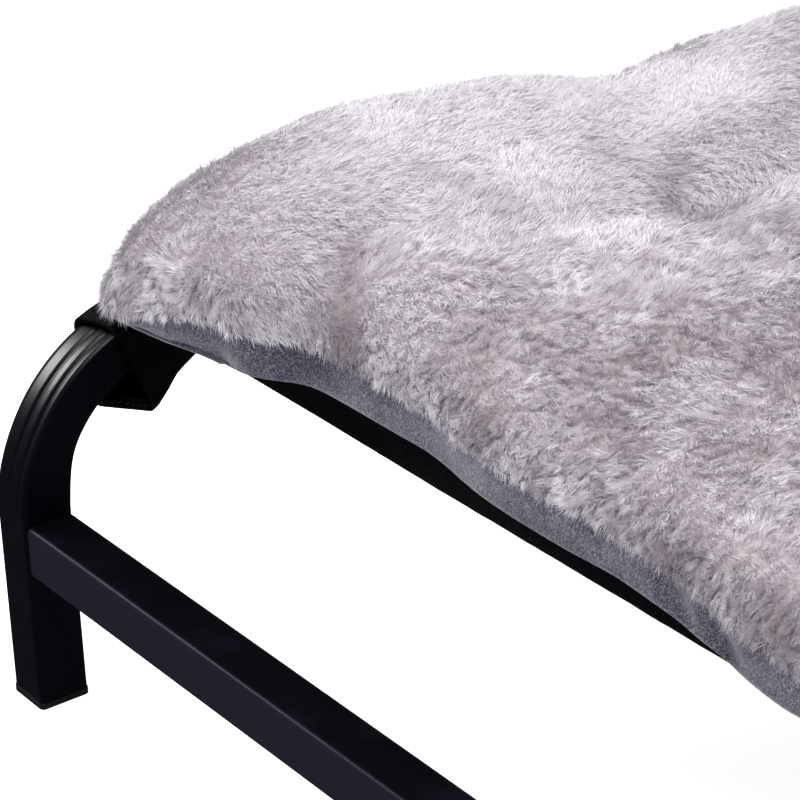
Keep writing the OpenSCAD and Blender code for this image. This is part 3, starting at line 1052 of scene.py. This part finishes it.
def mat_suede():
    """The suede band and the underside, one cloth."""
    band = np.concatenate([SHELL[level] for level in LEVELS])
    ring = len(RIM)
    under = SHELL[:ROWS * COLUMNS].copy()
    x, y = under[:, 0], under[:, 1]
    under[:, 2] = UNDER_Z - droop(x, y) + 0.0006 * (1 + layered(x, y, 0.06, 55))
    inside = np.setdiff1d(np.arange(len(under)), RIM)
    points = np.concatenate([band, under[inside]])
    index = np.zeros(len(under), int)
    index[inside] = len(band) + np.arange(len(inside))
    index[RIM] = ring * BAND_ROWS + np.arange(ring)
    levels = [k * ring + np.arange(ring) for k in range(BAND_ROWS + 1)]
    bands = [skirt(upper, lower) for upper, lower in zip(levels, levels[1:])]
    faces = np.concatenate(bands + [index[TOP_FACES][:, ::-1]])
    piece = make("suede_base", points, faces, SUEDE, "mat", "suede_grey", "mat_base")
    finer(piece)
    thicken(piece, SUEDE_T)
    return piece


CORE_INSET = 0.012        # how far the wadding stays in from the mat's ends and sides


def mat_core():
    """The wadding inside, drawn in from the skin on every side."""
    grid = SHELL[:ROWS * COLUMNS].reshape(ROWS, COLUMNS, 3)[::2, ::2]
    rows, columns = grid.shape[:2]
    middle = np.array([grid[..., 0].mean(), grid[..., 1].mean()])
    inset = 1 - 2 * CORE_INSET / np.array([MAT_LENGTH, MAT_WIDTH])
    top = grid.copy()
    top[..., :2] = middle + (grid[..., :2] - middle) * inset
    top[..., 2] = np.maximum(grid[..., 2] - 0.010, UNDER_Z + 0.0040)
    under = top.copy()
    under[..., 2] = UNDER_Z + 0.0030 - droop(top[..., 0], top[..., 1]) * 0.5
    top[..., 2] = np.maximum(top[..., 2], under[..., 2] + 0.001)
    rim = rim_order(rows, columns)
    quads = grid_faces(rows, columns)
    wall = skirt(rim, rows * columns + rim)
    faces = np.concatenate([quads, quads[:, ::-1] + rows * columns, wall])
    return make("fibre_core", [top, under], faces, FIBRE, "mat", "fibre_white", "mat_filling")


PLUSH = mat_plush()
SUEDE_BASE = mat_suede()
CORE = mat_core()


# ---- mat: pile

PILE_SHADES = [pile_yarn("pile_root", "#c6c0c7"), pile_yarn("pile_dark", "#9c9198"),
               pile_yarn("pile_mid", "#c9c3cb"), pile_yarn("pile_pale", "#e8e5ec")]
ROOT, DARK, MID, PALE = range(4)
PILE_PIECES = 10
HAIRS_PER_PIECE = 98000
HAIR_WIDTH = 0.00023
TUFT_SIZE = 0.0036        # hairs gather into tufts about this far apart
HAIR_SINK = 0.0006        # how deep a hair's root sits in the ground
PALE_ABOVE = 0.60         # the tones from 0 to 1 over which a hair is pale, or middling
MID_ABOVE = 0.34
BLADE = (0, 1, 2, 2, 1, 3)     # a hair's root triangle and its tip one, out of its four points
ROOT_SEED = 900
TUFT_SEED = 300
HAIR_SEED = 1000


def triangle_points(points, triangles):
    """The first, the second and the third corner of each triangle."""
    return [points[triangles[:, k]] for k in range(3)]


def point_normals(points, triangles):
    """The outward direction at each point of a skin."""
    a, b, c = triangle_points(points, triangles)
    face = np.cross(b - a, c - a)
    normals = np.zeros_like(points)
    for k in range(3):
        np.add.at(normals, triangles[:, k], face)
    return unit(normals)


def tufts(roots):
    """The tuft each root belongs to, the nearest of many scattered middles, and how far off it is."""
    cell = np.floor(roots / TUFT_SIZE)
    nearest = np.full(len(roots), np.inf)
    middle = np.zeros_like(roots)
    for step in np.ndindex(3, 3, 3):
        beside = cell + np.array(step) - 1
        jitter = np.stack([hashed(beside, TUFT_SEED + k) for k in range(3)], 1)
        spot = (beside + jitter) * TUFT_SIZE
        away = np.linalg.norm(roots - spot, axis=1)
        closer = away < nearest
        nearest[closer] = away[closer]
        middle[closer] = spot[closer]
    return middle, nearest


def calm(x, y):
    """1 where the pile lies smooth, 0 where it has been ruffled."""
    u, v = from_corner(x, y)
    ruffled = smooth(0.05, 0.21, u - 0.35 * (v - 0.10))
    ruffled = ruffled * lerp(1.0, 0.5 + 0.5 * layered(x, y, 0.16, 41, 2), smooth(0.45, 0.65, u))
    corner = 0.45 * smooth(0.02, -0.03, u)
    slope = 0.45 * mound(u, v, (0.050, 0.055), (0.120, 0.070))
    return 1 - np.maximum(ruffled, np.maximum(corner, slope))


# painted shade along the folds, where the pile has been parted and its shadowed depths show: how dark,
# how wide and along which line
PAINTED_SHADE_PARTINGS = ((2.0, 0.008, ((0.108, 0.104), (0.139, 0.083), (0.161, 0.070), (0.172, 0.067))),
            (0.9, 0.008, ((0.079, 0.157), (0.095, 0.158), (0.114, 0.165), (0.125, 0.172))),
            (1.1, 0.009, ((0.111, 0.280), (0.134, 0.255), (0.153, 0.240), (0.164, 0.232))),
            (0.9, 0.009, ((0.149, 0.263), (0.170, 0.252), (0.178, 0.247))))
# stretches where the pile is darker all over, partly its own colour and partly painted shade where the
# mat turns from the light: how dark, the middle and the radii
DARK_AND_SHADED_STRETCHES = ((1.3, (0.435, 0.050), (0.100, 0.055)), (0.40, (0.040, 0.055), (0.110, 0.070)))


def darkness_and_painted_shade(x, y):
    """How much darker the pile is painted: painted shade along its folds, and over whole stretches a
    darker colour with painted shade in it.
    """
    return relief(*from_corner(x, y), DARK_AND_SHADED_STRETCHES, PAINTED_SHADE_PARTINGS)


def overhang(roots):
    """Near the front left corner the pile hangs over the band and hides it."""
    u, v = from_corner(roots[:, 0], roots[:, 1])
    return smooth(0.075, 0.020, np.hypot(u + 0.030, v - 0.020))


def combing(middle, stray, normals, edge):
    """The way the pile has been brushed: by hand, this way and that, and down over the edges."""
    x, y = middle[:, 0], middle[:, 1]
    u, v = from_corner(x, y)
    near = smooth(0.16, 0.30, u + 0.3 * (0.25 - v))
    turn = lerp(1.15, -0.55, near) + 1.5 * layered(x, y, 0.085, 61, 2) + 0.7 * noise(x, y, 0.022, 65)
    turn = turn + 0.7 * noise(x, y, 0.010, 66) * (1 - calm(x, y)) * smooth(0.004, 0.022, edge)
    rim = smooth(0.022, 0.004, edge)
    turn = turn + stray * (1 + 0.8 * rim)
    brushed = np.stack([np.cos(turn), np.sin(turn), 0 * turn], 1)
    outward = np.stack([normals[:, 0], normals[:, 1], -0.85 + 0 * turn], 1)
    return unit(in_plane(brushed + (0.75 * rim)[:, None] * unit(outward), normals))


def shade_of(middle, offset, seed):
    """Which shade each hair is: light, with darker drifts, painted shade along the folds and over the
    dark stretches, and offset, which holds painted shade at the tufts' rims.
    """
    x, y = middle[:, 0], middle[:, 1]
    rng = np.random.default_rng(seed)
    drift = 0.55 * layered(x, y, 0.036, 71) + 0.45 * layered(x, y, 0.014, 73, 2)
    mottled = 1 - calm(x, y)
    tone = 0.80 - 0.18 * mottled + (0.08 + 0.66 * mottled) * drift + (0.4 + 0.6 * mottled) * offset
    # painted shade: the hairs along the folds and over the dark stretches are darkened
    tone = tone - 0.30 * darkness_and_painted_shade(x, y) * (1 + drift)
    tone = tone + 0.14 * (rng.random(len(x)) - 0.5)
    return np.where(tone > PALE_ABOVE, PALE, np.where(tone > MID_ABOVE, MID, DARK))


def hair_lengths(roots, edge, reach, rng):
    """Each hair's length: less at the mat's edge and where it is ruffled, more at the overhang."""
    length = PILE * (0.60 + 0.35 * rng.random(len(roots)) + 0.35 * reach)
    length = length * lerp(0.78, 1.0, smooth(0.0, 0.020, edge))
    length = length * lerp(1.0, 1.35, overhang(roots))
    return length * lerp(0.86, 1.0, calm(roots[:, 0], roots[:, 1]))


def hair_leans(smoothed, lean, rng):
    """How far each hair's root part and its tip part lean over, in radians. A few stand up."""
    spread = lean * (1 - 0.6 * smoothed)
    low = np.radians(36 + 14 * smoothed + 22 * spread + 12 * rng.random(len(lean)))
    high = np.radians(54 + 16 * smoothed + 24 * spread + 14 * rng.random(len(lean)))
    upright = smooth(0.84, 0.94, rng.random(len(lean)))
    return low * (1 - 0.55 * upright), high * (1 - 0.50 * upright)


def blade_mesh(name, points, shades, normals):
    """A mesh of hairs, each of four points and two triangles, with a normal for each hair."""
    count = len(points)
    corners = 4 * np.arange(count)[:, None] + np.array(BLADE)
    mesh = bpy.data.meshes.new(name)
    mesh.vertices.add(count * 4)
    mesh.vertices.foreach_set("co", points.reshape(-1).astype(np.float32))
    mesh.loops.add(count * 6)
    mesh.loops.foreach_set("vertex_index", corners.reshape(-1).astype(np.int32))
    mesh.polygons.add(count * 2)
    mesh.polygons.foreach_set("loop_start", np.arange(0, count * 6, 3, dtype=np.int32))
    mesh.polygons.foreach_set("material_index", shades.reshape(-1).astype(np.int32))
    mesh.polygons.foreach_set("use_smooth", np.ones(count * 2, bool))
    mesh.update(calc_edges=True)
    set_vectors(mesh, "custom_normal", np.repeat(normals, 4, 0))
    return mesh


def hair_mesh(name, roots, normals, edge, seed):
    """Hairs as thin bent blades, each with a root and a tip part."""
    rng = np.random.default_rng(seed)
    count = len(roots)
    middle, off = tufts(roots)
    label = np.floor(middle * 1e5)
    stray, lean, reach, tint = (hashed(label, TUFT_SEED + 10 + k) for k in range(4))
    half = hair_lengths(roots, edge, reach, rng)[:, None] / 2
    smoothed = calm(middle[:, 0], middle[:, 1])
    way = combing(middle, (1.5 - 0.9 * smoothed) * (stray - 0.5), normals, edge)
    way = unit(way + in_plane(rng.normal(0, 0.30, (count, 3)), normals))
    drawn_in = lerp(1.0, 0.35, smoothed) * smooth(-0.006, 0.010, edge)
    pull = in_plane((middle - roots) * drawn_in[:, None], normals)
    leans = hair_leans(smoothed * smooth(0.0, 0.030, edge), lean, rng)
    low, high = [np.cos(angle)[:, None] * normals + np.sin(angle)[:, None] * way for angle in leans]
    bend = roots + half * low + 0.20 * pull
    tip = bend + half * high + 0.30 * pull
    turn = (rng.random(count)[:, None] - 0.5) * 1.1
    width = HAIR_WIDTH * (0.7 + 0.6 * rng.random(count)[:, None])
    across = unit(unit(np.cross(normals, way)) * np.cos(turn) + normals * np.sin(turn)) * width
    points = np.stack([roots - normals * HAIR_SINK, bend - across / 2, bend + across / 2, tip], 1)
    # each tuft's own tint, less painted shade at its rim, where tufts would shadow each other
    offset = 0.34 * (tint - 0.5) - 0.18 * smooth(0.35, 0.75, off / TUFT_SIZE)
    shades = np.stack([np.full(count, ROOT), shade_of(middle, offset, seed + 5)], 1)
    blade = unit(np.cross(tip - bend, across))
    blade = blade * np.sign((blade * normals).sum(1, keepdims=True))
    return blade_mesh(name, points, shades, unit(0.92 * normals + 0.08 * blade))


def pile_roots():
    """Every hair's root, the skin's outward direction there, and its distance in from the edge. They
    are spread evenly, but closer together at the edge."""
    top = SHELL[:ROWS * COLUMNS]
    triangles = np.concatenate([TOP_FACES[:, [0, 1, 2]], TOP_FACES[:, [0, 2, 3]]])
    normals = point_normals(top, triangles)
    edge = np.minimum(*mat_plan()[2:]).reshape(-1, 1)
    a, b, c = triangle_points(top, triangles)
    area = np.linalg.norm(np.cross(b - a, c - a), axis=1)
    share = area * lerp(3.0, 1.0, smooth(0.002, 0.010, edge[triangles, 0].mean(1)))
    rng = np.random.default_rng(ROOT_SEED)
    total = PILE_PIECES * HAIRS_PER_PIECE
    pick = triangles[rng.choice(len(triangles), total, p=share / share.sum())]
    s, t = rng.random((2, total, 1))
    s, t = np.where(s + t > 1, 1 - s, s), np.where(s + t > 1, 1 - t, t)
    weights = (1 - s - t, s, t)
    roots, root_normals, root_edge = [sum(w * values[pick[:, k]] for k, w in enumerate(weights))
                                      for values in (top, normals, edge)]
    return roots, unit(root_normals), root_edge[:, 0]


def mat_pile():
    """The pile: hairs over the whole plush top, as one piece for each stretch of the mat."""
    roots, normals, edge = pile_roots()
    order = np.argsort(roots[:, 0], kind="stable")
    for k, part in enumerate(np.array_split(order, PILE_PIECES)):
        name = "plush_pile_%d" % (k + 1)
        mesh = hair_mesh(name, roots[part], normals[part], edge[part], HAIR_SEED + k)
        for shade in PILE_SHADES:
            mesh.materials.append(shade)
        piece = linked(name, mesh)
        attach(piece, "mat")


mat_pile()


# ---- floor, light and camera

ROOM_LIGHT = 0.05         # how bright the room is to the bed; the camera sees it white
FLOOR_R = 9.0             # far enough out for the floor's rim to be out of view
FLOOR_SIDES = 96


def studio_floor():
    """A wide white floor that looks dark in the gloss of the paint."""
    p = Paint("studio_floor", Roughness=0.9, Specular_IOR_Level=0.1)
    p.set(Base_Color=p.ramp(p.cloud(p.place(), 0.6), (0.3, "#f4f4f5"), (0.7, "#f8f8f8")),
          Emission_Color=(1.0, 1.0, 1.0, 1.0), Emission_Strength=0.92)
    flag = p.add("Emission", inputs={"Color": rgb("#4a4a58"), "Strength": 0.5})
    glossy = p.add("LightPath", "Is Glossy Ray")
    flagged = p.add("MixShader", inputs={"Fac": glossy, 1: p.shader.outputs["BSDF"], 2: flag})
    p.link(flagged, p.tree.nodes["Material Output"].inputs["Surface"])
    turn = np.arange(FLOOR_SIDES) * 2 * math.pi / FLOOR_SIDES
    rim = np.stack([FLOOR_R * np.cos(turn), FLOOR_R * np.sin(turn), 0 * turn], 1)
    mesh = mesh_of("studio_floor", rim, [range(FLOOR_SIDES)])
    mesh.materials.append(p.material)
    floor = linked("studio_floor", mesh)


def studio_room():
    """A dim room that the camera sees white."""
    world = bpy.data.worlds.new("studio_room")
    world.use_nodes = True
    nodes, links = world.node_tree.nodes, world.node_tree.links
    seen = nodes.new("ShaderNodeLightPath")
    strength = nodes.new("ShaderNodeMapRange")
    strength.inputs["To Min"].default_value = ROOM_LIGHT
    strength.inputs["To Max"].default_value = 1.0
    links.new(seen.outputs["Is Camera Ray"], strength.inputs["Value"])
    links.new(strength.outputs["Result"], nodes["Background"].inputs["Strength"])
    nodes["Background"].inputs["Color"].default_value = (1.0, 1.0, 1.0, 1.0)
    bpy.context.scene.world = world


def soft_box(name, way, reach, size, power):
    """A square lamp that faces the bed's near left corner."""
    aim = Vector((LEFT[1].x, LEFT[0].y, FRAME_TOP))
    place = aim + Vector(way).normalized() * reach
    turned = (place - aim).to_track_quat("Z", "Y").to_matrix().to_4x4()
    lamp = configured(bpy.data.lights.new(name, "AREA"), shape="SQUARE", size=size, energy=power)
    linked(name, lamp).matrix_world = Matrix.Translation(place) @ turned


CAMERA_AZIMUTH = math.radians(54.7)      # turned left from looking along +Y
CAMERA_ELEVATION = math.radians(26.2)    # looking down from the level
CAMERA_ROLL = math.radians(-2.18)
CAMERA_LENS = 144.5
# from the near left leg's inner front bottom corner
CAMERA_FROM_LEG = Vector((1.1208, -0.5874, 0.7650))


def camera():
    """The photographer's view: close on the near left corner, from above and to the right."""
    ahead = Vector((-math.sin(CAMERA_AZIMUTH), math.cos(CAMERA_AZIMUTH), 0.0))
    forward = ahead * math.cos(CAMERA_ELEVATION) - Vector((0.0, 0.0, math.sin(CAMERA_ELEVATION)))
    level = Vector((math.cos(CAMERA_AZIMUTH), math.sin(CAMERA_AZIMUTH), 0.0))
    above = level.cross(forward)
    right = level * math.cos(CAMERA_ROLL) + above * math.sin(CAMERA_ROLL)
    up = right.cross(forward)
    turned = Matrix((right, up, -forward)).transposed()
    place = Vector((LEFT[1].x, LEFT[0].y, LEFT[0].z)) + CAMERA_FROM_LEG
    lens = configured(bpy.data.cameras.new("photo_camera"), lens=CAMERA_LENS, sensor_width=36.0,
                      clip_end=60.0)
    eye = linked("photo_camera", lens)
    eye.matrix_world = Matrix.Translation(place) @ turned.to_4x4()
    bpy.context.scene.camera = eye


studio_floor()
studio_room()
soft_box("key_light", way=(-0.757, -0.350, 0.547), reach=2.5, size=0.80, power=49.0)
soft_box("top_light", way=(0.28, 0.10, 1.0), reach=2.6, size=2.4, power=97.0)
camera()
bpy.context.scene.view_settings.view_transform = "Standard"
